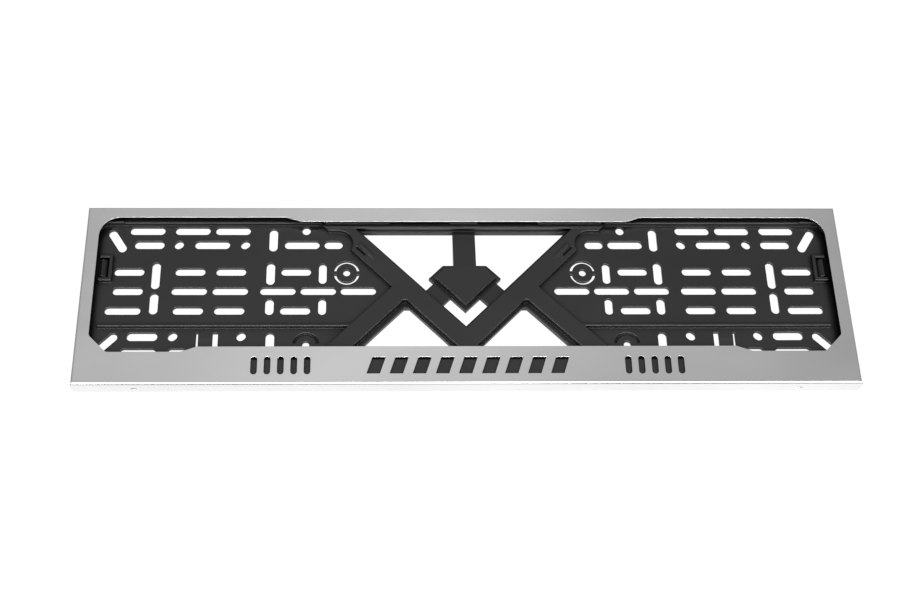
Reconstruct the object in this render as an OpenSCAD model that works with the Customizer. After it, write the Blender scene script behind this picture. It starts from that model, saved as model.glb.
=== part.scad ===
// Number plate holder: a folded stainless cover frame snapped over a moulded black base plate.
// It lies on its back. X runs along its width, Y up the plate and Z out of its face.

/* [Number plate] */
// Width of the number plate that the holder takes
plate_w = 520; // [505:1:530]
// Height of the number plate
plate_h = 112; // [109:0.5:116]
// Clearance at each end of the plate
plate_gap_x = 1; // [0.5:0.1:2]
// Clearance above and below the plate
plate_gap_y = 0.5; // [0.3:0.1:1.5]

/* [Cover frame] */
// Depth of the folded cover, from its back edge to its face
cover_d = 12.5; // [12:0.1:15]
// Thickness of the steel sheet
sheet_t = 0.5; // [0.4:0.1:0.8]
// Outside radius of the folded edges
bend_r = 2; // [1.2:0.1:2.6]
// Gap between the base plate's rim and the inside of the cover
cover_gap = 0.4; // [0.3:0.05:0.6]
// Gap between the base plate's rim and the back of the cover's face
face_gap = 0.6; // [0.3:0.1:1]

/* [Window in the cover] */
// Width of the steel left at each side of the window
lip_side = 9.6; // [8:0.1:11]
// Width of the steel left above the window
lip_top = 8.7; // [7:0.1:10]
// Width of the steel left below the window
lip_bottom = 24.1; // [21:0.1:25]
// How far the middle of the upper lip hangs into the window
top_step = 3.3; // [2:0.1:5]
// Distance from the centre line to the outer end of the upper step
top_step_x = 126.5; // [110:0.5:140]
// How far the middle of the lower lip rises into the window
bottom_step = 3.8; // [2:0.1:5]
// Distance from the side of the window to the outer end of the lower step
bottom_step_x = 63; // [50:0.5:90]
// Length of the slant at the end of each step
step_slant = 10.8; // [4:0.1:12]
// Radius of the window's upper corners
top_corner_r = 14.5; // [8:0.5:18]
// Leg of the cut across the window's lower corners
bottom_corner_cut = 12.4; // [8:0.2:16]
// Radius that softens the ends of the steps and corner cuts
soft_r = 4; // [1:0.5:6]

/* [Piercings in the lower bar] */
// Number of slanted bars pierced in the middle
bar_count = 9; // [5:2:11]
// Distance between the slanted bars
bar_pitch = 15.6; // [12:0.1:17]
// Width of each slanted bar
bar_w = 9; // [5:0.5:10]
// Height of each slanted bar
bar_h = 12; // [8:0.5:15]
// How far the top of a slanted bar leans over
bar_lean = 4; // [0:0.5:6]
// Number of upright slots in each side group
upright_count = 5; // [3:1:6]
// Distance between the upright slots
upright_pitch = 9; // [8:0.1:10]
// Width of each upright slot
upright_w = 4.4; // [3:0.1:6]
// Height of each upright slot
upright_h = 13; // [8:0.5:15]
// Distance from the centre line to the middle of each side group
upright_x = 127; // [115:1:150]

/* [Snap fit] */
// Distance from each end of the cover to its snap slots
snap_x = 42; // [20:0.5:90]
// Length of each snap slot
snap_slot_l = 4; // [3:0.1:8]
// Height of each snap slot
snap_slot_h = 1.6; // [1.2:0.1:2.4]
// Height of the snap slots above the back
snap_z = 5.5; // [4:0.1:8]
// Clearance between a barb of the base plate and its slot
snap_gap = 0.25; // [0.15:0.05:0.4]

/* [Base plate levels] */
// Height of the rails and beams above the back
rail_z = 8.3; // [7.5:0.1:9]
// Height of the wing floors above the back
floor_z = 5.3; // [4.5:0.1:6.5]
// Thickness of the moulded skins
skin = 2; // [1.5:0.1:2.2]
// Thickness of the moulded walls
wall = 2; // [1.4:0.1:2.4]
// Thickness of the flange around each large opening
flange_t = 3.8; // [2:0.1:4.5]
// Width of the flange around each large opening
flange_w = 2; // [1:0.1:3]
// Width of the rim at each end of the plate
rim_side = 5.7; // [4.5:0.1:7]
// Width of the rim above the plate
rim_top = 3.9; // [3:0.1:5]
// Width of the shelf below the plate, behind the pierced bar
shelf_h = 17.9; // [16:0.1:20]
// Distance between the ribs under the shelf
shelf_rib_pitch = 44; // [30:1:60]

/* [Rails and pockets] */
// Radius of the upper outer corner of each wing pocket
pocket_corner_r = 11; // [6:0.5:14]
// Width of the rail above the wing pockets
wing_rail = 6.5; // [5:0.1:7]
// Width of the rail above the middle opening
middle_rail = 10.4; // [8:0.1:12]
// Width of the flange below the middle rail
rail_flange = 1.4; // [1:0.1:2]
// Width of the rail below the lower openings
foot_rail = 6; // [5:0.1:8]
// Height of the long rib in each wing, above the edge of the shelf
rib_rise = 27; // [24:0.1:28]
// Width of the long rib in each wing
rib_w = 1.8; // [1.2:0.1:2.4]
// Gap between the end of the long rib and the end of the recess
rib_gap = 7; // [4:0.1:12]

/* [Rests under the plate] */
// Height of the rests above the rails
rest_h = 1; // [0.5:0.1:1.4]
// Width of the rests
rest_w = 1.6; // [1:0.1:2.4]
// Length of the rest over the arrow's stem
stem_rest = 19.5; // [14:0.5:24]
// Distance from the centre line to the inner end of the long rests
long_rest_x = 53.4; // [30:0.1:60]
// Length of the long rests
long_rest = 45.3; // [30:0.1:46]
// Length of the straight part of the rest in each upper corner
corner_rest = 9.4; // [5:0.1:20]

/* [Beams and arrow] */
// Height of the line through both inner edges of the V-shaped beam below the centre
v_inner = 24.4; // [22:0.1:27]
// Slanting width of the V-shaped beam, across its end
v_beam = 20.1; // [19:0.1:24]
// Sum of the coordinates along the inner edge of the foot beams
foot_inner = 40.2; // [37:0.1:41]
// Slanting width of the foot beams, across their end
foot_beam = 18.3; // [16:0.1:21]
// Width of the blunt top of each lower opening
blunt_w = 2.4; // [1:0.1:4]
// Width of that blunt top inside the flange
low_blunt_w = 3.6; // [2:0.1:4.4]
// Width of the flange along the foot beams
foot_flange = 3.7; // [2:0.1:4.4]
// Half width of the arrow's stem
stem_half = 8; // [6:0.1:9]
// Height of the flat top of the arrow's head
head_top = 22.2; // [20:0.1:25]
// Sum of the coordinates along the shoulder of the arrow's head
head_shoulder = 36.3; // [34:0.1:39]
// Depth of the arrow's tip below the centre line
head_tip = 7.4; // [5:0.1:10]
// Width of the flange along the arrow's shoulders
shoulder_flange = 3.1; // [2:0.1:4]
// Sum of the coordinates along the lower edge of the low bridges
bridge_lower = 10.5; // [8:0.1:14]
// Sum of the coordinates along the upper edge of the low bridges
bridge_upper = 33.4; // [28:0.1:34]

/* [Screw slots] */
// Width of the screw slots in the upper rows, the strip and the corners
slot_w = 6; // [5:0.1:6.4]
// Width of the slots in the three lower rows of each pocket
slim_slot_w = 5.5; // [4.8:0.1:6.2]
// Length of the long slots
long_slot = 24.8; // [20:0.1:26]
// Length of the middle slots
mid_slot = 21; // [16:0.1:23]
// Length of the short slot beside each beam
short_slot = 13; // [10:0.1:15]
// Length of the upright slots in the top row and in the strip
tall_upright = 17.6; // [12:0.1:18.6]
// Length of the upright slots in the upper half of each pocket
upper_upright = 17; // [12:0.1:18]
// Length of the upright slots in the lower half of each pocket
lower_upright = 12; // [8:0.1:14]
// Length of the upper upright slot next to the beams
short_upright = 15.5; // [10:0.1:16]
// Length of the upper upright slot next to each end of the plate
end_upright = 20.5; // [14:0.1:21]
// Length of the lower upright slot next to each end of the plate
low_end_upright = 16; // [12:0.1:17]
// Length of the corner slots
corner_slot = 19.7; // [14:0.1:22]
// Length of the leaning screw holes
lean_hole_l = 6.7; // [6:0.1:8]
// Width of the leaning screw holes
lean_hole_w = 5.6; // [4.8:0.1:6]
// Angle by which those holes lean
lean = -38; // [-60:1:0]

/* [Screw discs] */
// Distance from the centre line to the upper screw discs
disc_x = 83.3; // [80:0.1:85]
// Height of the upper screw discs above the centre line
disc_y = 18.9; // [16:0.1:21]
// Distance from the centre line to the lower screw discs
low_disc_x = 110.8; // [108:0.1:113]
// Depth of the lower screw discs below the centre line
low_disc_y = 36.4; // [35:0.1:37]
// Diameter of the hole in each screw disc
disc_hole = 5; // [4:0.1:6]
// Radius of the disc inside its two curved slits
disc_r = 7.4; // [6:0.1:7.6]
// Width of the curved slits round the upper discs
slit_w = 1.7; // [1:0.1:1.8]
// Width of the curved slits round the lower discs
low_slit_w = 1.7; // [1:0.1:1.8]
// Depth of the slits round the lower discs, which are blind
low_slit_d = 1.2; // [0.8:0.1:1.4]
// Width of the two bridges that carry each disc
disc_bridge = 3; // [2:0.1:5]

/* [Latches on the beams] */
// Length of the ramp on each arm of the V-shaped beam
ramp_l = 16.5; // [10:0.1:17]
// Width of the ramp
ramp_w = 3; // [2:0.1:3.4]
// Height of the ramp's upper end above the beam
ramp_h = 1.2; // [0.5:0.1:1.4]
// Sum of the coordinates at the lower end of the ramp
ramp_start = 91; // [88:0.1:94]
// Distance from the beam's inner edge to the middle of the ramp, along X
ramp_in = 9.7; // [9:0.1:10]
// Distance between the ramp and its slit
latch_gap = 1; // [0.6:0.1:1.4]
// Length of the slit beside the ramp
latch_slit = 9; // [6:0.1:10]
// Width of the slit beside the ramp
latch_slit_w = 1.2; // [0.8:0.1:1.4]
// Depth of that slit, which is blind
latch_slit_d = 1.3; // [0.8:0.1:1.5]

/* [Clips and tongues] */
// Width of the clip at each end of the plate
clip_w = 9.4; // [7.8:0.1:10]
// Distance from the clip to the end of the recess
clip_out = 4.2; // [3:0.1:6]
// Height of the clip
clip_h = 20.4; // [16:0.1:21]
// Height of the clip's middle above the centre line
clip_y = 22; // [20:0.1:24]
// Width of the clip's frame
clip_frame = 2.4; // [1.4:0.1:2.6]
// Width of the groove round the clip's wedge
clip_groove = 0.9; // [0.6:0.1:1.2]
// Width of the clip's wedge
clip_bar = 3.9; // [3:0.1:4.2]
// Rise of that wedge towards the end of the plate
clip_rise = 2.4; // [1.5:0.1:2.8]
// Distance from the end of the recess to the middle of each snap tongue
tongue_x = 81.2; // [78:0.1:84]
// Width of each snap tongue
tongue_w = 9.9; // [7:0.1:10.4]
// Width of the slit on the inner side of each snap tongue
tongue_slit = 3.7; // [3:0.1:4.4]
// Width of the slit on its outer side
tongue_out_slit = 1.4; // [1:0.1:3]
// Length of each snap tongue
tongue_l = 15; // [12:0.1:16]
// Distance from the long rib to the root of each snap tongue
tongue_drop = 5; // [4:0.1:7]
// Length of the slope at the free end of each snap tongue
slope_l = 11.6; // [8:0.1:12.5]
// Depth of that slope at the free end
slope_h = 1.4; // [0.5:0.1:1.6]

/* [Hidden] */
$fn = 48;

steel_colour = [0.72, 0.73, 0.74];
plastic_colour = [0.19, 0.19, 0.2];
// Overlap that makes a cut pass clear of a face
clear = 1;
// Steps in each softened corner of the window
corner_steps = 8;

// Outer sizes
recess_w = plate_w + 2 * plate_gap_x;
recess_h = plate_h + 2 * plate_gap_y;
base_w = recess_w + 2 * rim_side;
base_h = recess_h + rim_top + shelf_h;
cover_w = base_w + 2 * (cover_gap + sheet_t);
cover_h = base_h + 2 * (cover_gap + sheet_t);
rim_z = cover_d - sheet_t - face_gap;
bend_z = cover_d - bend_r;

// Heights of the recess for the plate
recess_y0 = -base_h / 2 + shelf_h;
recess_y1 = base_h / 2 - rim_top;

// Edges of the pockets and rails. A wing runs on into the rim, so that no faces merely touch
half_w = recess_w / 2;
wing_end = half_w + clear;
pocket_y1 = recess_y1 - wing_rail;
middle_y1 = recess_y1 - middle_rail;
foot_y0 = recess_y0 + foot_rail;
rib_y = recess_y0 + rib_rise;
strip_y0 = recess_y0 + wall;
v_outer = v_inner + v_beam;
foot_outer = foot_inner + foot_beam;
// Width of a flange measured along X or Y, where it runs at 45 degrees
slant_flange = flange_w * sqrt(2);

// Rows of slots
row_1 = recess_y1 - 11.2;
row_2 = recess_y1 - 22.5;
row_3 = 19.6;
row_4 = 4.6;
row_5 = -10.5;
strip_row = recess_y0 + 19.4;
low_row = recess_y0 + 7.3;
top_upright_row = recess_y1 - 18.6;
strip_upright_row = strip_row - 6.2;
upper_upright_row = 18.2;
lower_upright_row = -7.5;
end_upright_row = 16.7;
low_end_upright_row = -5;
corner_row = recess_y1 - 19.4;
low_corner_row = recess_y0 + 14;

// Columns near the beams, as distances from the centre line
near_col = 75;
bend_col = 92.8;
short_upright_col = 100.1;
next_col = 103;
hole_col = 112.3;
inner_top_col = 115.1;
inner_col = 118.8;
last_col = 131.2;
tall_upright_col = 135.5;
upright_col = 136.7;

// Columns near the ends, as distances in from the end of the recess
low_corner_in = 13.2;
corner_in = 15.2;
edge_in = 22.9;
end_in = 25.3;
end_top_in = 35.9;
end_row_in = 37.9;
end_upright_in = 44;
end_hole_in = 58.8;
low_in = 62.4;
outer_in = 68;
outer_row_in = 82.4;
middle_in = 96.6;
middle_hole_in = 105.7;

// Angles of the slots in the corners
corner_turn = 57;
low_corner_turn = -45;
// Least land between two slots
slot_land = 2;

// Slots near the beams: distance from the centre line, height, length, width and turn
inner_slots = concat(
    [
        [bend_col, row_2, short_slot, slot_w, 0],
        [inner_top_col, row_2, long_slot, slot_w, 0],
        [inner_col, row_3, mid_slot, slim_slot_w, 0],
        [inner_col, row_5, mid_slot, slim_slot_w, 0],
        [short_upright_col, upper_upright_row, short_upright, slim_slot_w, 90],
        [short_upright_col, lower_upright_row, lower_upright, slim_slot_w, 90],
        [tall_upright_col, top_upright_row, tall_upright, slot_w, 90],
        [upright_col, upper_upright_row, upper_upright, slot_w, 90],
        [upright_col, lower_upright_row, lower_upright, slot_w, 90]
    ],
    [for (x = [near_col, next_col, last_col]) [x, row_4, long_slot, slim_slot_w, 0]]
);

// Slots near the ends: distance in from the end of the recess, height, length, width and turn
end_slots = concat(
    [for (x = [end_top_in, outer_in, middle_in]) [x, row_1, long_slot, slot_w, 0]],
    [for (x = [end_in, outer_in, middle_in]) [x, row_3, mid_slot, slim_slot_w, 0]],
    [for (x = [outer_in, middle_in]) [x, row_4, long_slot, slim_slot_w, 0]],
    [for (x = [outer_in, middle_in]) [x, row_5, mid_slot, slim_slot_w, 0]],
    [for (y = [row_2, strip_row]) [end_row_in, y, mid_slot, slot_w, 0]],
    [for (y = [row_2, strip_row], x = [end_hole_in, middle_hole_in])
        [x, y, lean_hole_l, lean_hole_w, lean]],
    [
        [outer_row_in, row_2, long_slot, slot_w, 0],
        [end_in, row_4, mid_slot, slim_slot_w, 0],
        [edge_in, row_5, long_slot, slim_slot_w, 0],
        [end_upright_in, end_upright_row, end_upright, slot_w, 90],
        [end_upright_in, low_end_upright_row, low_end_upright, slot_w, 90],
        [corner_in, corner_row, corner_slot, slot_w, corner_turn],
        [low_corner_in, low_corner_row, corner_slot, slot_w, low_corner_turn],
        [end_top_in, low_row, long_slot, slot_w, 0],
        [low_in, low_row, short_slot, slot_w, 0],
        [middle_in, low_row, mid_slot - slot_w, slot_w, 0]
    ]
);

// The end slots stop where those near the beams begin
inner_limit = last_col + long_slot / 2 + slot_land;

// The pocket's edge runs round the inner end of the short slot
bend_x = bend_col - (short_slot - slot_w) / 2;
bend_edge_r = 10.3;
// The slanted end of the pocket's upper edge lies on the line |X| = Y + bend_down
bend_down = 45.3;

// Point of the line |X| = Y + down on which |X| + Y = sum
function meet(down, sum) = [(sum + down) / 2, (sum - down) / 2];

// Outward side of the edge from a to b, on an outline that runs counter-clockwise
function side_of(a, b) = [b.y - a.y, a.x - b.x] / norm(b - a);

// Outline with each edge moved outwards
function grown(points, by) = let (n = len(points)) [
    for (i = [0:n - 1])
        let (before = side_of(points[(i + n - 1) % n], points[i]),
             after = side_of(points[i], points[(i + 1) % n]))
            points[i] + by * (before + after) / (1 + before * after)
];

// Points of one softened corner at b, between a and c
function soft_corner(a, b, c, r) = let (
    u = (a - b) / norm(a - b),
    v = (c - b) / norm(c - b),
    half = acos(u * v) / 2,
    centre = b + (u + v) / norm(u + v) * r / sin(half),
    from = b + u * r / tan(half) - centre,
    turn = side_turn(a, b, c) * (180 - 2 * half)
) [
    for (i = [0:corner_steps])
        let (t = turn * i / corner_steps)
            centre + [from.x * cos(t) - from.y * sin(t), from.x * sin(t) + from.y * cos(t)]
];

// Left turns count as 1 and right turns as -1
function side_turn(a, b, c) = sign((b.x - a.x) * (c.y - b.y) - (b.y - a.y) * (c.x - b.x));

// Outline with its corners softened by a list of radii
function softened(points, radii) = let (n = len(points)) [
    for (i = [0:n - 1])
        for (p = soft_corner(points[(i + n - 1) % n], points[i], points[(i + 1) % n], radii[i])) p
];

// Right half of an outline with its mirror image added
function both_halves(points) = concat(
    points,
    [for (i = [len(points) - 1:-1:0]) [-points[i].x, points[i].y]]
);

// List followed by itself backwards
function there_and_back(list) = concat(list, [for (i = [len(list) - 1:-1:0]) list[i]]);

// Triangle inside the V-shaped beam and under the middle rail
function v_opening(down, top) = [[0, -down], [top + down, top], [-top - down, top]];

// Head of the arrow that hangs from the middle rail into the V-shaped beam
function arrow_head(top, shoulder, tip) = concat([[0, -tip]], both_halves([
    meet(tip, shoulder),
    [shoulder - top, top]
]));

// Opening below the V-shaped beam, between the lines |X| = Y + down and |X| + Y = sum
function foot_opening(down, sum, bottom, blunt) = [
    [down + bottom, bottom],
    [sum - bottom, bottom],
    meet(down, sum) + [blunt / 2, -blunt / 2],
    meet(down, sum) - [blunt / 2, blunt / 2]
];

// Outline of a wing, along the rails and beams
bend_top = row_2 + bend_edge_r;
wing_edge = [
    [wing_end, strip_y0],
    [wing_end, pocket_y1],
    [pocket_y1 + bend_down, pocket_y1],
    [bend_top + bend_down, bend_top],
    [bend_x, bend_top],
    [bend_x, row_2],
    [v_outer + row_2 - bend_edge_r / 2, row_2 - bend_edge_r / 2],
    meet(v_outer, foot_outer),
    [foot_outer - strip_y0, strip_y0]
];

// Window in the cover's face
window_x = cover_w / 2 - lip_side;
window_y1 = cover_h / 2 - lip_top;
window_y0 = -cover_h / 2 + lip_bottom;
window_half = [
    [window_x - bottom_step_x - step_slant, window_y0 + bottom_step],
    [window_x - bottom_step_x, window_y0],
    [window_x - bottom_corner_cut, window_y0],
    [window_x, window_y0 + bottom_corner_cut],
    [window_x, window_y1],
    [top_step_x, window_y1],
    [top_step_x - step_slant, window_y1 - top_step]
];
window_radii = [soft_r, soft_r, soft_r, soft_r, top_corner_r, soft_r, soft_r];

module both_sides() {
    children();
    mirror([1, 0, 0]) children();
}

// Slot with round ends, lying along X
module slot_2d(length, width) {
    run = length - width;
    square([run, width], center = true);
    for (end = [-1, 1])
        translate([end * run / 2, 0]) circle(d = width);
}

// Cover frame

// Section through a folded sheet: square at the back, rounded at the face
module fold_2d(width, height, radius) {
    translate([-width / 2, -clear]) square([width, height + clear - radius]);
    translate([-width / 2 + radius, -clear]) square([width - 2 * radius, height + clear]);
    for (side = [-1, 1])
        translate([side * (width / 2 - radius), height - radius]) circle(r = radius);
}

// Box with its four upper edges folded over, moved inwards by the thickness of the sheet or not at all
module folded_box(by) {
    intersection() {
        translate([0, cover_h / 2, 0]) rotate([90, 0, 0])
            linear_extrude(cover_h) fold_2d(cover_w - 2 * by, cover_d - by, bend_r - by);
        translate([-cover_w / 2, 0, 0]) rotate([90, 0, 90])
            linear_extrude(cover_w) fold_2d(cover_h - 2 * by, cover_d - by, bend_r - by);
    }
}

module window_2d() {
    polygon(softened(both_halves(window_half), there_and_back(window_radii)));
}

// Plain piercings in the lower bar
module piercings_2d() {
    mid_y = (-cover_h / 2 + window_y0 + bottom_step) / 2;
    for (i = [0:bar_count - 1])
        translate([(i - (bar_count - 1) / 2) * bar_pitch, mid_y])
            polygon([
                [-(bar_w + bar_lean) / 2, -bar_h / 2],
                [(bar_w - bar_lean) / 2, -bar_h / 2],
                [(bar_w + bar_lean) / 2, bar_h / 2],
                [-(bar_w - bar_lean) / 2, bar_h / 2]
            ]);
    for (side = [-1, 1], i = [0:upright_count - 1])
        translate([side * upright_x + (i - (upright_count - 1) / 2) * upright_pitch, mid_y])
            rotate(90) slot_2d(upright_h, upright_w);
}

// Slots in both long sides of the rim
module snap_slots() {
    for (end = [-1, 1], side = [-1, 1])
        translate([end * (cover_w / 2 - snap_x), side * cover_h / 2, snap_z])
            cube([snap_slot_l, 2 * (sheet_t + cover_gap / 2), snap_slot_h], center = true);
}

module cover_frame() {
    color(steel_colour) difference() {
        folded_box(0);
        folded_box(sheet_t);
        translate([0, 0, -2 * clear]) linear_extrude(2 * clear)
            square([cover_w + clear, cover_h + clear], center = true);
        translate([0, 0, bend_z]) linear_extrude(cover_d) {
            window_2d();
            piercings_2d();
        }
        snap_slots();
    }
}

// Base plate

module recess_2d(by = 0) {
    polygon([
        [-half_w - by, recess_y0 - by],
        [half_w + by, recess_y0 - by],
        [half_w + by, recess_y1 + by],
        [-half_w - by, recess_y1 + by]
    ]);
}

module bend_2d(by = 0) {
    translate([bend_x, row_2]) circle(r = bend_edge_r + by);
}

// Solid corner that rounds off each wing pocket
module pocket_corner_2d() {
    translate([wing_end - pocket_corner_r, pocket_y1 - pocket_corner_r]) difference() {
        square(2 * pocket_corner_r);
        circle(r = pocket_corner_r);
    }
}

// Long rib between each wing's pocket and the strip below it
module long_rib_2d() {
    start = foot_outer - rib_y - wall;
    translate([start, rib_y - rib_w / 2]) square([half_w - rib_gap - start, rib_w]);
}

// Wing pockets with the strips below them
module pockets_2d() {
    both_sides() difference() {
        union() {
            polygon(wing_edge);
            bend_2d();
        }
        pocket_corner_2d();
        long_rib_2d();
    }
}

// Wings with the walls that stand round them
module walled_wings_2d() {
    both_sides() {
        polygon(grown(wing_edge, wall));
        bend_2d(wall);
    }
}

// Large openings at the level of the rails
module openings_2d(by = 0) {
    difference() {
        polygon(grown(v_opening(v_inner, middle_y1), by));
        polygon(grown(arrow_head(head_top, head_shoulder, head_tip), -by));
    }
    both_sides() polygon(grown(foot_opening(v_outer, foot_inner, foot_y0, blunt_w), by));
}

// Large openings at the back, inside their flanges
module low_openings_2d() {
    difference() {
        polygon(v_opening(v_inner - slant_flange, middle_y1 - rail_flange));
        polygon(arrow_head(
            head_top + shoulder_flange,
            head_shoulder + shoulder_flange * sqrt(2),
            head_tip + slant_flange
        ));
        both_sides() polygon([
            meet(head_tip, bridge_lower),
            meet(v_inner, bridge_lower),
            meet(v_inner, bridge_upper),
            meet(head_tip, bridge_upper)
        ]);
    }
    both_sides() polygon(foot_opening(
        v_outer + slant_flange,
        foot_inner - foot_flange * sqrt(2),
        foot_y0 + flange_w,
        low_blunt_w
    ));
}

// Rim around the plate, with the wide shelf below it
module rim_band() {
    step = bend_r - cover_gap + sheet_t;
    difference() {
        union() {
            linear_extrude(bend_z - sheet_t) square([base_w, base_h], center = true);
            linear_extrude(rim_z) square([base_w - 2 * step, base_h - 2 * step], center = true);
        }
        translate([0, 0, -clear]) linear_extrude(rim_z + 2 * clear) recess_2d();
        shelf_hollow();
    }
}

// Hollow under the shelf, crossed by ribs
module shelf_hollow() {
    hollow_w = base_w - 2 * rim_side;
    rib_count = floor(hollow_w / shelf_rib_pitch);
    difference() {
        translate([-hollow_w / 2, -base_h / 2 + wall, -clear])
            cube([hollow_w, shelf_h - 2 * wall, rim_z - skin + clear]);
        for (i = [0:rib_count])
            translate([(i - rib_count / 2) * shelf_rib_pitch - rib_w / 2, -base_h / 2, -2 * clear])
                cube([rib_w, shelf_h, rim_z]);
    }
}

// Rails, beams and arrow as channels that are open at the back, with the pocket floors between
module deck() {
    difference() {
        linear_extrude(rail_z) recess_2d(rim_top / 2);
        translate([0, 0, -clear]) linear_extrude(rail_z + 2 * clear) openings_2d();
        translate([0, 0, floor_z]) linear_extrude(rail_z) pockets_2d();
        translate([0, 0, -clear]) linear_extrude(floor_z - skin + clear) pockets_2d();
        translate([0, 0, -clear]) linear_extrude(rail_z - skin + clear) difference() {
            recess_2d();
            walled_wings_2d();
            openings_2d(wall);
        }
    }
}

module opening_flanges() {
    linear_extrude(flange_t) difference() {
        openings_2d(wall / 2);
        low_openings_2d();
    }
}

// Low ribs on the rails that the plate rests on
module plate_rests() {
    translate([0, pocket_y1, rail_z - skin / 2]) linear_extrude(rest_h + skin / 2) {
        translate([-stem_rest / 2, 0]) square([stem_rest, rest_w]);
        both_sides() {
            translate([long_rest_x, 0]) square([long_rest, rest_w]);
            translate([wing_end - pocket_corner_r, 0]) {
                translate([-corner_rest, 0]) square([corner_rest + clear, rest_w]);
                translate([0, -pocket_corner_r]) intersection() {
                    difference() {
                        circle(r = pocket_corner_r + rest_w);
                        circle(r = pocket_corner_r);
                    }
                    square(pocket_corner_r + rest_w);
                }
            }
        }
    }
}

// Body of the arrow's stem, which rises from the middle rail to the arrow's head
module stem_body(half, rise) {
    translate([-half, 0, 0]) rotate([90, 0, 90]) linear_extrude(2 * half) polygon([
        [head_top, -rise],
        [middle_y1, -rise],
        [middle_y1, flange_t - rise],
        [head_top, rail_z - rise]
    ]);
}

// Stem, open at the back, with its ends in the walls of the rail and of the head
module arrow_stem() {
    width = 2 * stem_half;
    reach = wall / 2 + clear;
    difference() {
        union() {
            stem_body(stem_half, 0);
            translate([-stem_half, middle_y1 - clear, 0]) cube([width, reach, flange_t]);
            translate([-stem_half, head_top - wall / 2, 0]) cube([width, reach, rail_z - skin]);
        }
        stem_body(stem_half - wall, skin);
    }
}

// Ramp and slit of the latch on each arm of the V-shaped beam
module latch_ramp() {
    foot = meet(v_inner + ramp_in, ramp_start);
    translate([foot.x, foot.y, rail_z]) rotate([90, 0, 45])
        translate([0, 0, -ramp_w / 2]) linear_extrude(ramp_w)
            polygon([[0, -skin / 2], [ramp_l, -skin / 2], [ramp_l, ramp_h], [0, 0]]);
}

module latch_slit_2d() {
    beside = (ramp_w / 2 + latch_gap + latch_slit_w / 2) * sqrt(2);
    along = (ramp_l - latch_slit / 2) * sqrt(2);
    translate(meet(v_inner + ramp_in + beside, ramp_start + along))
        rotate(45) square([latch_slit, latch_slit_w], center = true);
}

// Block for the clip at each end of the plate
module side_clip() {
    translate([half_w - clip_out - clip_w, clip_y - clip_h / 2, floor_z - skin])
        cube([clip_w, clip_h, rail_z - floor_z + skin]);
}

// Space inside the clip's frame, round and above its wedge
module clip_space() {
    hole = [clip_w - clip_frame + clear, clip_h - 2 * clip_frame];
    bar_l = hole.y - 2 * clip_groove;
    translate([half_w - clip_out - clip_w + clip_frame, clip_y, floor_z - skin / 2]) difference() {
        translate([0, -hole.y / 2, 0]) cube([hole.x, hole.y, rail_z]);
        translate([clip_groove, bar_l / 2, -clear]) rotate([90, 0, 0]) linear_extrude(bar_l) polygon([
            [0, 0],
            [clip_bar, 0],
            [clip_bar, clear + rail_z - floor_z + skin / 2],
            [0, clear + rail_z - floor_z + skin / 2 - clip_rise]
        ]);
    }
}

// Two curved slits round a screw disc
module disc_slits_2d(width) {
    difference() {
        circle(r = disc_r + width);
        circle(r = disc_r);
        square([4 * disc_r, disc_bridge], center = true);
    }
}

// Slits beside and below each snap tongue
module tongue_slits_2d() {
    outer = tongue_w + tongue_slit + tongue_out_slit;
    translate([half_w - tongue_x, rib_y - tongue_drop]) difference() {
        translate([-tongue_w / 2 - tongue_slit, -tongue_l - tongue_out_slit])
            square([outer, tongue_l + tongue_out_slit]);
        translate([-tongue_w / 2, -tongue_l]) square([tongue_w, tongue_l + clear]);
    }
}

// Slope cut into the free end of each snap tongue
module tongue_slope() {
    translate([half_w - tongue_x - (tongue_w + clear) / 2, rib_y - tongue_drop - tongue_l, 0])
        rotate([90, 0, 90]) linear_extrude(tongue_w + clear)
            polygon([
                [-clear, floor_z - slope_h],
                [slope_l, floor_z],
                [slope_l, floor_z + clear],
                [-clear, floor_z + clear]
            ]);
}

// Screw slots of one wing
module wing_slots_2d() {
    for (slot = inner_slots)
        translate([slot[0], slot[1]]) rotate(slot[4]) slot_2d(slot[2], slot[3]);
    for (slot = end_slots)
        if (half_w - slot[0] - slot[2] / 2 > inner_limit)
            translate([half_w - slot[0], slot[1]]) rotate(slot[4]) slot_2d(slot[2], slot[3]);
    if (half_w - tongue_x - tongue_w / 2 - tongue_slit - slot_land > tall_upright_col + slot_w / 2)
        translate([tall_upright_col, strip_upright_row]) rotate(90) slot_2d(tall_upright, slot_w);
}

// Round holes of one wing and the slits of its upper disc
module wing_holes_2d() {
    translate([hole_col, row_1]) circle(d = slot_w);
    translate([low_disc_x, -low_disc_y]) circle(d = disc_hole);
    translate([disc_x, disc_y]) {
        circle(d = disc_hole);
        disc_slits_2d(slit_w);
    }
}

// Barbs that snap into the slots in the cover's rim
module barbs() {
    reach = cover_gap + sheet_t / 2;
    for (end = [-1, 1], side = [-1, 1])
        translate([end * (cover_w / 2 - snap_x), side * (base_h / 2 + (reach - wall) / 2), snap_z])
            cube([snap_slot_l - 2 * snap_gap, reach + wall, snap_slot_h - 2 * snap_gap], center = true);
}

module base_plate() {
    color(plastic_colour) difference() {
        union() {
            rim_band();
            deck();
            opening_flanges();
            plate_rests();
            arrow_stem();
            barbs();
            both_sides() {
                latch_ramp();
                side_clip();
            }
        }
        both_sides() {
            translate([0, 0, -clear]) linear_extrude(rail_z + 2 * clear) {
                wing_slots_2d();
                wing_holes_2d();
                tongue_slits_2d();
            }
            translate([0, 0, rail_z - latch_slit_d]) linear_extrude(rail_z) latch_slit_2d();
            translate([low_disc_x, -low_disc_y, floor_z - low_slit_d]) linear_extrude(rail_z)
                disc_slits_2d(low_slit_w);
            tongue_slope();
            clip_space();
        }
    }
}

cover_frame();
base_plate();
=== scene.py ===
"""Number plate holder: the looks of the folded steel cover and the moulded black base plate.

It is laid out as a Blender add-on and run as a script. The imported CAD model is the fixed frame,
in metres.
"""

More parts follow.
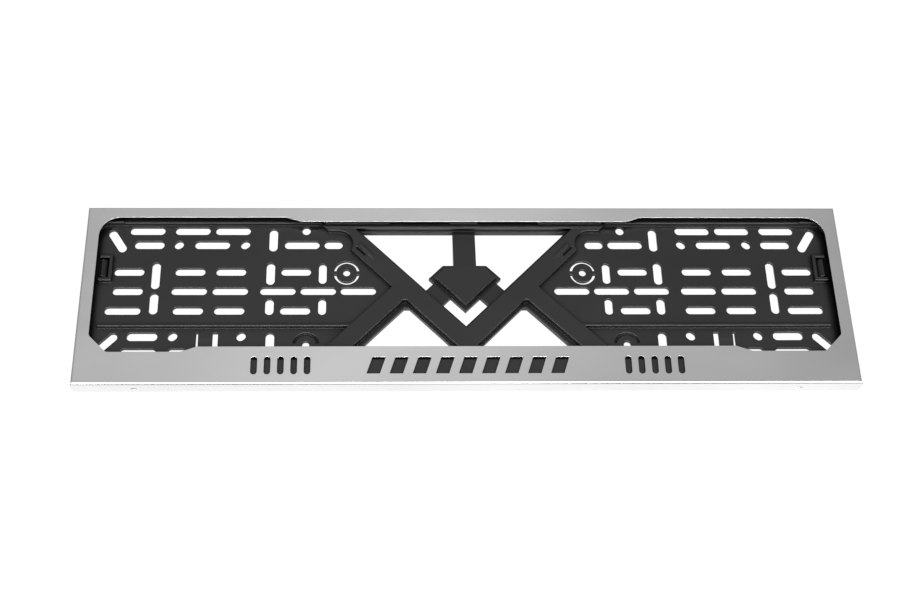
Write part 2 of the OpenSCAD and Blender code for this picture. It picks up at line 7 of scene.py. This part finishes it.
import math

import bmesh
import bpy
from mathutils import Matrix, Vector


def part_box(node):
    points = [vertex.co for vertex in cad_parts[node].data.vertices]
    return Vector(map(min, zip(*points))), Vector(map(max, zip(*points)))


bl_info = {
    "name": "Number plate holder",
    "version": (1, 0, 0),
    "blender": (4, 5, 0),
    "location": "View3D > Sidebar > Plate holder",
    "description": "Steel cover frame, moulded base plate and stage of a number plate holder",
    "category": "Object",
}

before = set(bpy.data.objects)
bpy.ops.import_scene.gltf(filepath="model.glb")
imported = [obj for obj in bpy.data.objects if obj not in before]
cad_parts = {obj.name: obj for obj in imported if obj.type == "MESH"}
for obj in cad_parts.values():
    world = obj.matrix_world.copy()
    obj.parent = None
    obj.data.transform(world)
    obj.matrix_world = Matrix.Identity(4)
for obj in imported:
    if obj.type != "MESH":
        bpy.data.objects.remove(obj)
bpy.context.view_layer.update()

MM = 0.001
WHITE = (1, 1, 1, 1)
BLACK = (0, 0, 0)

# Camera
PHOTO_WIDTH = 920
SENSOR = 36.0

# Usual reach of a noise texture, and the rays that soften edges and find corners
NOISE_SPAN = (0.3, 0.7)
EDGE_SAMPLES = 6

# Steel: features per metre or per wave, and the factors between which they vary
WAVE_STRETCH = (0.6, 1.5, 1)
PATCHES = (7, 14, 14)
ROLLED_LINES = (40, 1200, 1200)
PATCH_TONE = (0.94, 1.04)
ROLLED_SPREAD = (0.9, 1.15)

# Plastic: flow marks per metre and the factors between which they vary; then the painted shade in
# corners: the openness over which it fades in, the factors by which it darkens the colour, and the
# specular levels by which it dims reflections
FLOW_MARKS = (14, 22, 22)
FLOW_TONE = (0.75, 1)
FLOW_SPREAD = (0.9, 1.1)
PAINTED_SHADE_SPAN = (0.35, 0.85)
PAINTED_SHADE_TONE = (0.1, 1)
PAINTED_SHADE_SPECULAR = (0.12, 0.6)

# Floor: part that glows, how strongly, and its shape
GLOW_SHARE = 0.92
GLOW_STRENGTH = 1.04
FLOOR_ROUGHNESS = 0.9
FLOOR_HALF_WIDTH = 4
FLOOR_GAP = 0.2 * MM

# Studio: levels low down in front and behind, and overhead, and how they vary by direction
LOW_LEVELS = (0.3, 0.38)
FRONT_TO_BACK = (-0.6, 0.1)
OVERHEAD_LEVEL = 0.55
RISE_SPAN = (0.4, 0.8)
SIDE_TONE = (1.22, 0.8)
SIDE_SPAN = (0.04, 0.32)
PANEL_SCALE = 9
PANEL_TONE = (0.9, 1.12)
PANEL_SPAN = (0.45, 0.55)


# Property groups


class SteelProperties(bpy.types.PropertyGroup):
    """Finish of the folded steel cover."""

    colour: bpy.props.FloatVectorProperty(
        name="Colour",
        description="Colour of the bare steel",
        subtype="COLOR",
        size=3,
        default=(0.8, 0.8, 0.8),
        min=0,
        max=1,
    )
    roughness: bpy.props.FloatProperty(
        name="Roughness",
        description="Roughness of the polished face",
        default=0.13,
        min=0,
        max=1,
        subtype="FACTOR",
    )
    wave_depth: bpy.props.FloatProperty(
        name="Wave depth",
        description="Depth of the slow waves that the sheet's reflections show",
        default=0.7 * MM,
        min=0,
        unit="LENGTH",
    )
    wave_length: bpy.props.FloatProperty(
        name="Wave length",
        description="Usual distance between two waves along the sheet",
        default=0.09,
        min=0.01,
        unit="LENGTH",
    )
    edge: bpy.props.FloatProperty(
        name="Edge radius",
        description="Softening of the sheet's cut edges",
        default=0.3 * MM,
        min=0,
        unit="LENGTH",
    )


class PlasticProperties(bpy.types.PropertyGroup):
    """Finish of the moulded base plate."""

    colour: bpy.props.FloatVectorProperty(
        name="Colour",
        description="Colour of the moulded plastic",
        subtype="COLOR",
        size=3,
        default=(0.006, 0.006, 0.006),
        min=0,
        max=1,
    )
    roughness: bpy.props.FloatProperty(
        name="Roughness",
        description="Roughness of the moulded surface",
        default=0.3,
        min=0,
        max=1,
        subtype="FACTOR",
    )
    grain_size: bpy.props.FloatProperty(
        name="Grain size",
        description="Distance between the grains of the mould's spark-eroded texture",
        default=0.6 * MM,
        min=0.1 * MM,
        unit="LENGTH",
    )
    grain_depth: bpy.props.FloatProperty(
        name="Grain depth",
        description="Depth of that texture",
        default=0.02 * MM,
        min=0,
        unit="LENGTH",
    )
    edge: bpy.props.FloatProperty(
        name="Edge radius",
        description="Softening of the moulded edges",
        default=1.3 * MM,
        min=0,
        unit="LENGTH",
    )
    # Reach of the painted shade: how far from a wall the plastic is painted darker
    painted_shade_reach: bpy.props.FloatProperty(
        name="Corner reach",
        description="How far from a wall the plastic grows darker",
        default=9 * MM,
        min=0,
        unit="LENGTH",
    )


class StageProperties(bpy.types.PropertyGroup):
    """Camera, floor and light."""

    camera_place: bpy.props.FloatVectorProperty(
        name="Camera place",
        description="Place of the camera, from the middle of the cover's face",
        subtype="TRANSLATION",
        unit="LENGTH",
        size=3,
        default=(-57.9 * MM, -392.7 * MM, 814.3 * MM),
    )
    camera_turn: bpy.props.FloatVectorProperty(
        name="Camera turn",
        description="Tilt, yaw and roll of the camera from looking straight down",
        subtype="EULER",
        size=3,
        default=[math.radians(a) for a in (25.14, -1.29, -0.05)],
    )
    focal_pixels: bpy.props.FloatProperty(
        name="Focal length in pixels",
        description="Focal length measured in the photograph",
        default=1303,
        min=1,
    )
    axis_left: bpy.props.FloatProperty(
        name="Axis offset",
        description="Distance of the camera's axis to the left of the picture's middle, in pixels",
        default=47.9,
    )
    floor_colour: bpy.props.FloatVectorProperty(
        name="Floor colour",
        description="Colour of the floor",
        subtype="COLOR",
        size=3,
        default=(0.9, 0.9, 0.9),
        min=0,
        max=1,
    )
    light_power: bpy.props.FloatProperty(
        name="Light power",
        description="Power of the large soft light above the front, in watts",
        default=68.0,
        min=0,
    )
    light_size: bpy.props.FloatVectorProperty(
        name="Light size",
        description="Width and depth of that light",
        subtype="XYZ_LENGTH",
        unit="LENGTH",
        size=2,
        default=(3.0, 0.8),
    )
    light_place: bpy.props.FloatVectorProperty(
        name="Light place",
        description="Place of that light, from the middle of the cover's face",
        subtype="TRANSLATION",
        unit="LENGTH",
        size=3,
        default=(0, -0.78, 1.36),
    )


# Node helpers


def new_material(name, viewport_colour):
    material = bpy.data.materials.new(name)
    material.use_nodes = True
    material.diffuse_color = (*viewport_colour, 1)
    return material


def shader_of(material):
    return material.node_tree.nodes["Principled BSDF"]


def object_coordinates(tree, scale):
    """Object coordinates stretched by a scale on each axis."""
    source = tree.nodes.new("ShaderNodeTexCoord")
    mapping = tree.nodes.new("ShaderNodeMapping")
    mapping.inputs["Scale"].default_value = scale
    tree.links.new(source.outputs["Object"], mapping.inputs["Vector"])
    return mapping.outputs["Vector"]


def noise(tree, vector, scale, detail):
    """Noise texture on a vector."""
    node = tree.nodes.new("ShaderNodeTexNoise")
    node.inputs["Scale"].default_value = scale
    node.inputs["Detail"].default_value = detail
    tree.links.new(vector, node.inputs["Vector"])
    return node.outputs["Fac"]


def surface_noise(tree, per_metre, detail):
    """Noise texture with so many features per metre on each axis."""
    return noise(tree, object_coordinates(tree, per_metre), 1, detail)


def to_range(tree, value, target, source=NOISE_SPAN):
    """Value mapped from a source range to a target range."""
    node = tree.nodes.new("ShaderNodeMapRange")
    node.inputs["From Min"].default_value = source[0]
    node.inputs["From Max"].default_value = source[1]
    node.inputs["To Min"].default_value = target[0]
    node.inputs["To Max"].default_value = target[1]
    tree.links.new(value, node.inputs["Value"])
    return node.outputs["Result"]


def computed(tree, operation, *values):
    """Result of a Math node on values that are sockets or numbers."""
    node = tree.nodes.new("ShaderNodeMath")
    node.operation = operation
    for socket, value in zip(node.inputs, values):
        if isinstance(value, (int, float)):
            socket.default_value = value
        else:
            tree.links.new(value, socket)
    return node.outputs["Value"]


def soft_edges(tree, radius):
    """Normal that turns over a radius at each edge."""
    node = tree.nodes.new("ShaderNodeBevel")
    node.samples = EDGE_SAMPLES
    node.inputs["Radius"].default_value = radius
    return node.outputs["Normal"]


def openness(tree, reach):
    """How open the surface is, from 0 deep in a corner to 1 in the open."""
    node = tree.nodes.new("ShaderNodeAmbientOcclusion")
    node.samples = EDGE_SAMPLES
    node.inputs["Distance"].default_value = reach
    return node.outputs["AO"]


def bump(tree, height, depth, under):
    """Bump from a height and its depth in metres, over another normal."""
    node = tree.nodes.new("ShaderNodeBump")
    node.inputs["Strength"].default_value = 1
    node.inputs["Distance"].default_value = depth
    tree.links.new(height, node.inputs["Height"])
    tree.links.new(under, node.inputs["Normal"])
    return node.outputs["Normal"]


def tinted(tree, value, dark, light):
    """Colour between dark and light by a value."""
    node = tree.nodes.new("ShaderNodeMix")
    node.data_type = "RGBA"
    node.inputs["A"].default_value = (*dark, 1)
    node.inputs["B"].default_value = (*light, 1)
    tree.links.new(value, node.inputs["Factor"])
    return node.outputs["Result"]


def seen_by(tree, *kinds):
    """1 for rays of these kinds and 0 for all others."""
    path = tree.nodes.new("ShaderNodeLightPath")
    value = path.outputs[kinds[0]]
    for kind in kinds[1:]:
        value = computed(tree, "MAXIMUM", value, path.outputs[kind])
    return value


def mix_surface(tree, output, share, first, second):
    """Mix two shaders by a share and lead them to an output."""
    mix = tree.nodes.new("ShaderNodeMixShader")
    tree.links.new(share, mix.inputs[0])
    tree.links.new(first, mix.inputs[1])
    tree.links.new(second, mix.inputs[2])
    tree.links.new(mix.outputs["Shader"], tree.nodes[output].inputs["Surface"])


def shade(colour, factor):
    return tuple(min(1, c * factor) for c in colour)


def scaled(pair, factor):
    return tuple(value * factor for value in pair)


# Materials


def polished_steel(props):
    """Stainless sheet: polished, with slow waves in its reflections and a faint rolled grain."""
    material = new_material("polished_steel", props.colour)
    tree = material.node_tree
    shader = shader_of(material)
    shader.inputs["Metallic"].default_value = 1
    waves = surface_noise(tree, scaled(WAVE_STRETCH, 1 / props.wave_length), 2)
    patches = surface_noise(tree, PATCHES, 3)
    rolled = surface_noise(tree, ROLLED_LINES, 2)
    dark, light = (shade(props.colour, factor) for factor in PATCH_TONE)
    colour = tinted(tree, to_range(tree, patches, (0, 1)), dark, light)
    tree.links.new(colour, shader.inputs["Base Color"])
    spread = to_range(tree, rolled, scaled(ROLLED_SPREAD, props.roughness))
    tree.links.new(spread, shader.inputs["Roughness"])
    waved = bump(tree, waves, props.wave_depth, soft_edges(tree, props.edge))
    tree.links.new(waved, shader.inputs["Normal"])
    return material


def moulded_plastic(props):
    """Black plastic with the fine texture of its mould, with painted shade that darkens it and
    dims its reflections deep in its corners.
    """
    material = new_material("moulded_plastic", props.colour)
    tree = material.node_tree
    shader = shader_of(material)
    grain = surface_noise(tree, (1 / props.grain_size,) * 3, 3)
    flow = surface_noise(tree, FLOW_MARKS, 3)
    # Painted shade: ambient occlusion darkens the colour and lowers the specular level near walls,
    # in corners and under the steel cover
    light = openness(tree, props.painted_shade_reach)
    corner = to_range(tree, light, PAINTED_SHADE_TONE, PAINTED_SHADE_SPAN)
    # Flow marks, a real tone of the plastic, times the painted shade
    flow_marks_and_painted_shade = computed(tree, "MULTIPLY", to_range(tree, flow, FLOW_TONE), corner)
    tree.links.new(tinted(tree, flow_marks_and_painted_shade, BLACK, props.colour), shader.inputs["Base Color"])
    spread = to_range(tree, flow, scaled(FLOW_SPREAD, props.roughness))
    tree.links.new(spread, shader.inputs["Roughness"])
    # Painted shade on the reflections: a lower specular level deep in corners
    specular_with_painted_shade = to_range(tree, light, PAINTED_SHADE_SPECULAR, PAINTED_SHADE_SPAN)
    tree.links.new(specular_with_painted_shade, shader.inputs["Specular IOR Level"])
    grained = bump(tree, grain, props.grain_depth, soft_edges(tree, props.edge))
    tree.links.new(grained, shader.inputs["Normal"])
    return material


def white_floor(props):
    """Floor that the camera and the gloss see as white, with a trace of the object's shadow."""
    material = new_material("white_floor", props.floor_colour)
    tree = material.node_tree
    shader = shader_of(material)
    shader.inputs["Base Color"].default_value = (*props.floor_colour, 1)
    shader.inputs["Roughness"].default_value = FLOOR_ROUGHNESS
    glow = tree.nodes.new("ShaderNodeEmission")
    glow.inputs["Color"].default_value = WHITE
    glow.inputs["Strength"].default_value = GLOW_STRENGTH
    seen = seen_by(tree, "Is Camera Ray", "Is Glossy Ray", "Is Transmission Ray")
    share = computed(tree, "MULTIPLY", seen, GLOW_SHARE)
    surfaces = shader.outputs["BSDF"], glow.outputs["Emission"]
    mix_surface(tree, "Material Output", share, *surfaces)
    return material


# Pieces


def finish_node(node, material):
    """Give a CAD node, whose shape is right, its finish in each of its material slots."""
    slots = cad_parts[node].material_slots
    if not slots:
        raise RuntimeError(f"{node} has no material slot")
    for slot in slots:
        slot.link = "OBJECT"
        slot.material = material


class PLATEHOLDER_OT_cover_frame(bpy.types.Operator):
    """Give the folded steel cover its polished finish"""

    bl_idname = "plateholder.cover_frame"
    bl_label = "Cover frame"

    def execute(self, context):
        finish_node("cover_frame", polished_steel(context.scene.plateholder_steel))
        return {"FINISHED"}


class PLATEHOLDER_OT_base_plate(bpy.types.Operator):
    """Give the moulded base plate its black finish"""

    bl_idname = "plateholder.base_plate"
    bl_label = "Base plate"

    def execute(self, context):
        finish_node("base_plate", moulded_plastic(context.scene.plateholder_plastic))
        return {"FINISHED"}


# Stage


def studio_level(tree):
    """Brightness of the studio: dimmer low down, brightest in the middle, with soft panels."""
    direction = tree.nodes.new("ShaderNodeTexCoord").outputs["Generated"]
    split = tree.nodes.new("ShaderNodeSeparateXYZ")
    tree.links.new(direction, split.inputs["Vector"])
    rise = tree.nodes.new("ShaderNodeMix")
    height = to_range(tree, split.outputs["Z"], (0, 1), RISE_SPAN)
    low = to_range(tree, split.outputs["Y"], LOW_LEVELS, FRONT_TO_BACK)
    tree.links.new(height, rise.inputs["Factor"])
    tree.links.new(low, rise.inputs["A"])
    rise.inputs["B"].default_value = OVERHEAD_LEVEL
    side = computed(tree, "ABSOLUTE", split.outputs["X"])
    fade = to_range(tree, side, SIDE_TONE, SIDE_SPAN)
    panels = to_range(tree, noise(tree, direction, PANEL_SCALE, 1), PANEL_TONE, PANEL_SPAN)
    level = computed(tree, "MULTIPLY", rise.outputs["Result"], fade)
    return computed(tree, "MULTIPLY", level, panels)


def set_world():
    """Grey studio that lights the object. The camera sees plain white."""
    world = bpy.data.worlds.new("studio")
    world.use_nodes = True
    bpy.context.scene.world = world
    tree = world.node_tree
    studio = tree.nodes["Background"]
    studio.inputs["Color"].default_value = WHITE
    tree.links.new(studio_level(tree), studio.inputs["Strength"])
    white = tree.nodes.new("ShaderNodeBackground")
    white.inputs["Color"].default_value = WHITE
    seen = seen_by(tree, "Is Camera Ray", "Is Transmission Ray")
    surfaces = studio.outputs["Background"], white.outputs["Background"]
    mix_surface(tree, "World Output", seen, *surfaces)


def add_soft_light(props, middle):
    """Large rectangular light that is aimed at the middle of the cover's face."""
    light = bpy.data.lights.new("soft_light", "AREA")
    light.shape = "RECTANGLE"
    light.size, light.size_y = props.light_size
    light.energy = props.light_power
    lamp = bpy.data.objects.new("soft_light", light)
    lamp.location = Vector(props.light_place) + middle
    lamp.rotation_euler = (-Vector(props.light_place)).to_track_quat("-Z", "Y").to_euler()
    bpy.context.scene.collection.objects.link(lamp)


def add_floor(props, level):
    mesh = bpy.data.meshes.new("floor")
    shape = bmesh.new()
    bmesh.ops.create_grid(shape, x_segments=1, y_segments=1, size=FLOOR_HALF_WIDTH)
    bmesh.ops.translate(shape, vec=(0, 0, level), verts=shape.verts)
    shape.to_mesh(mesh)
    shape.free()
    floor = bpy.data.objects.new("floor", mesh)
    floor.data.materials.append(white_floor(props))
    bpy.context.scene.collection.objects.link(floor)


def add_camera(props, middle):
    """Camera where the photograph was taken from. Its axis is left of the picture's middle."""
    data = bpy.data.cameras.new("camera")
    data.sensor_width = SENSOR
    data.lens = props.focal_pixels / PHOTO_WIDTH * SENSOR
    data.shift_x = props.axis_left / PHOTO_WIDTH
    camera = bpy.data.objects.new("camera", data)
    camera.location = Vector(props.camera_place) + middle
    camera.rotation_mode = "ZYX"
    camera.rotation_euler = props.camera_turn
    bpy.context.scene.collection.objects.link(camera)
    bpy.context.scene.camera = camera


class PLATEHOLDER_OT_stage(bpy.types.Operator):
    """Add the white floor, the soft light and the camera"""

    bl_idname = "plateholder.stage"
    bl_label = "Stage"

    def execute(self, context):
        props = context.scene.plateholder_stage
        low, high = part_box("cover_frame")
        middle = Vector((0, 0, high.z))
        add_floor(props, low.z - FLOOR_GAP)
        set_world()
        add_soft_light(props, middle)
        add_camera(props, middle)
        context.scene.view_settings.view_transform = "Standard"
        return {"FINISHED"}


class PLATEHOLDER_PT_panel(bpy.types.Panel):
    """Buttons that build the plate holder, with its sizes and colours"""

    bl_idname = "PLATEHOLDER_PT_panel"
    bl_label = "Number plate holder"
    bl_space_type = "VIEW_3D"
    bl_region_type = "UI"
    bl_category = "Plate holder"

    def draw(self, context):
        scene = context.scene
        parts = (
            (PLATEHOLDER_OT_cover_frame, scene.plateholder_steel),
            (PLATEHOLDER_OT_base_plate, scene.plateholder_plastic),
            (PLATEHOLDER_OT_stage, scene.plateholder_stage),
        )
        for operator, props in parts:
            box = self.layout.box()
            box.operator(operator.bl_idname)
            for name in props.__annotations__:
                box.prop(props, name)


PROPERTY_GROUPS = {
    "plateholder_steel": SteelProperties,
    "plateholder_plastic": PlasticProperties,
    "plateholder_stage": StageProperties,
}
OPERATORS = (PLATEHOLDER_OT_cover_frame, PLATEHOLDER_OT_base_plate, PLATEHOLDER_OT_stage)
CLASSES = (*PROPERTY_GROUPS.values(), *OPERATORS, PLATEHOLDER_PT_panel)


def register():
    for cls in CLASSES:
        bpy.utils.register_class(cls)
    for name, group in PROPERTY_GROUPS.items():
        setattr(bpy.types.Scene, name, bpy.props.PointerProperty(type=group))


def unregister():
    for name in PROPERTY_GROUPS:
        delattr(bpy.types.Scene, name)
    for cls in reversed(CLASSES):
        bpy.utils.unregister_class(cls)


def main():
    register()
    bpy.ops.plateholder.cover_frame()
    bpy.ops.plateholder.base_plate()
    bpy.ops.plateholder.stage()


if __name__ == "__main__":
    main()
